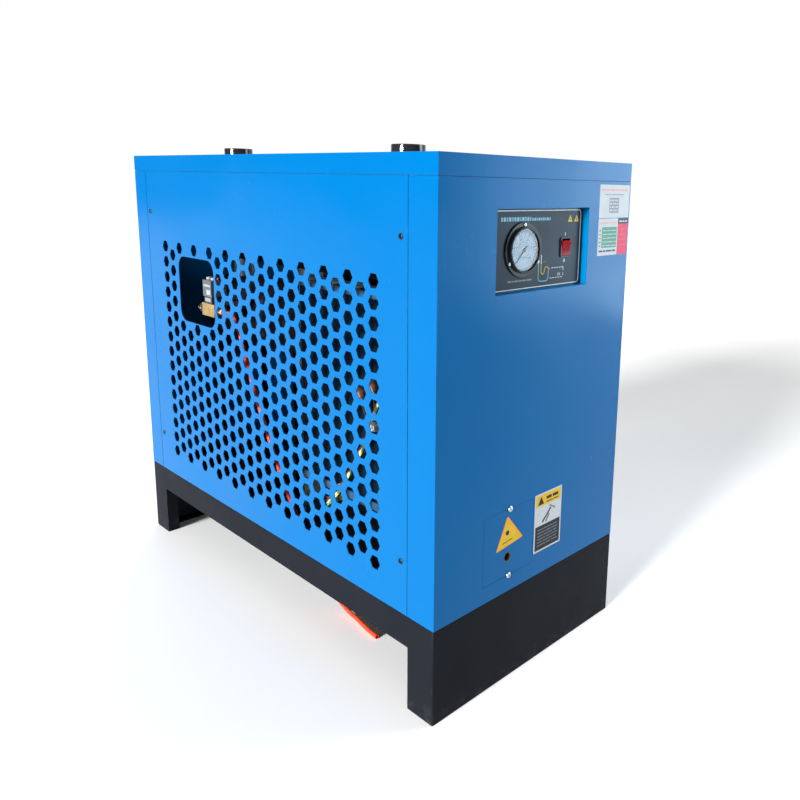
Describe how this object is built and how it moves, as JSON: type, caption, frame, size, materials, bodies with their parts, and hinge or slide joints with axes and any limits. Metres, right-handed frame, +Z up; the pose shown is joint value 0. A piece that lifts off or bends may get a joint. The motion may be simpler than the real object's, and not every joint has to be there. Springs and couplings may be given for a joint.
{
  "type": "refrigerated air dryer",
  "caption": "Floor-standing refrigerated compressed-air dryer: blue sheet-metal cabinet with perforated sides on a dark fork-lift base, front gauge and switch, top air ports and a drain hose.",
  "frame": {"origin": "on the floor, under the middle of the cabinet", "axes": "+X to the right seen from the front, +Y from the front to the rear, +Z up; the control panel faces -Y"},
  "size_m": [0.4636, 0.9624, 0.872],
  "materials": {
    "base_paint": "semi-gloss charcoal powder coat, scuffed at the corners",
    "pan_paint": "matte charcoal powder coat",
    "galvanised": "galvanised sheet",
    "blue_side": "gloss azure powder coat",
    "blue_end": "gloss azure powder coat",
    "screw_black": "black pan-headed screws",
    "screw_zinc": "bright zinc",
    "panel_black": "satin black printed plate",
    "rubber_black": "matte rubber",
    "gauge_black": "black moulding",
    "dial_white": "white printed dial",
    "needle_black": "black lacquer",
    "lens_clear": "clear",
    "rocker_red": "translucent red",
    "contactor_grey": "moulded",
    "capacitor_white": "white can",
    "wire_sleeve": "yellow and green insulation",
    "fin_dark": "dark coated fins",
    "copper": "copper tube",
    "fan_paint": "black stove enamel",
    "motor_grey": "painted motor body",
    "steel_bright": "ground steel",
    "fan_blade": "pressed aluminium",
    "compressor_black": "black stove enamel",
    "brass_plain": "machined brass",
    "insulation": "black closed-cell foam over metal",
    "pipe_grey": "grey paint",
    "socket_black": "gloss black paint",
    "separator_paint": "dark painted vessel",
    "lever_red": "red dipped lever",
    "timer_grey": "grey moulding",
    "knob_white": "moulded",
    "fitting_nickel": "nickel-plated",
    "hose_red": "orange-red polyurethane tube"
  },
  "bodies": {
    "cabinet": {"base_front": "base_paint", "base_rear": "base_paint", "base_side_left": "base_paint", "base_side_right": "base_paint", "floor_pan": "pan_paint", "corner_posts": "galvanised", "condenser_frame": "galvanised", "electrical_box": "galvanised", "left_side_panel": "blue_side", "right_side_panel": "blue_side", "top_cover": "blue_side", "front_panel": "blue_end", "rear_panel": "blue_end", "access_plate": "blue_end", "control_recess": "blue_end", "panel_screws": "screw_black", "bright_screws": "screw_zinc", "compressor_bolts": "screw_zinc", "control_plate": "panel_black", "grommets": "rubber_black", "compressor_mounts": "rubber_black", "gauge_case": "gauge_black", "switch_bezel": "gauge_black", "terminal_cover": "gauge_black", "drain_coil": "gauge_black", "gauge_dial": "dial_white", "gauge_lens": "lens_clear", "contactor": "contactor_grey", "run_capacitor": "capacitor_white", "wiring": "wire_sleeve", "condenser_fins": "fin_dark", "condenser_tubes": "copper", "refrigerant_lines": "copper", "filter_drier": "copper", "capillary_tubes": "copper", "fan_shroud": "fan_paint", "fan_guard": "fan_paint", "exchanger_cradles": "fan_paint", "fan_motor": "motor_grey", "compressor_shell": "compressor_black", "hot_gas_valve": "brass_plain", "ball_valve": "brass_plain", "drain_valve": "brass_plain", "precooler_shell": "insulation", "evaporator_shell": "insulation", "drain_pipe": "insulation", "air_links": "pipe_grey", "air_sockets": "socket_black", "separator": "separator_paint", "drain_timer": "timer_grey", "hose_fitting": "fitting_nickel", "drain_hose": "hose_red"},
    "needle": {"gauge_needle": "needle_black"},
    "rocker": {"switch_rocker": "rocker_red"},
    "fan": {"fan_shaft": "steel_bright", "fan_blades": "fan_blade"},
    "lever": {"valve_lever": "lever_red"},
    "interval_dial": {"interval_knob": "knob_white"},
    "open_time_dial": {"open_time_knob": "knob_white"},
    "test_key": {"test_button": "rocker_red"}
  },
  "joints": [
    {"name": "gauge_needle_turn", "type": "hinge", "parent": "cabinet", "child": "needle", "pos_m": [-0.042, -0.469, 0.712], "axis": [0, 1, 0], "range_deg": [0, 270], "stiffness_Nm_per_rad": 0.0005},
    {"name": "switch_rock", "type": "hinge", "parent": "cabinet", "child": "rocker", "pos_m": [0.063, -0.4646, 0.712], "axis": [-1, 0, 0], "range_deg": [0, 20]},
    {"name": "fan_spin", "type": "hinge", "parent": "cabinet", "child": "fan", "pos_m": [-0.12, -0.25, 0.463], "axis": [1, 0, 0], "continuous": true},
    {"name": "ball_valve_turn", "type": "hinge", "parent": "cabinet", "child": "lever", "pos_m": [-0.174, 0.208, 0.56], "axis": [0, 0, 1], "range_deg": [0, 90]},
    {"name": "interval_dial_turn", "type": "hinge", "parent": "cabinet", "child": "interval_dial", "pos_m": [-0.203, 0.199, 0.608], "axis": [0, 0, -1], "range_deg": [0, 270]},
    {"name": "open_time_dial_turn", "type": "hinge", "parent": "cabinet", "child": "open_time_dial", "pos_m": [-0.203, 0.217, 0.608], "axis": [0, 0, -1], "range_deg": [0, 270]},
    {"name": "test_button_press", "type": "slide", "parent": "cabinet", "child": "test_key", "axis": [0, 0, -1], "range_m": [0, 0.0015], "stiffness_N_per_m": 200}
  ]
}
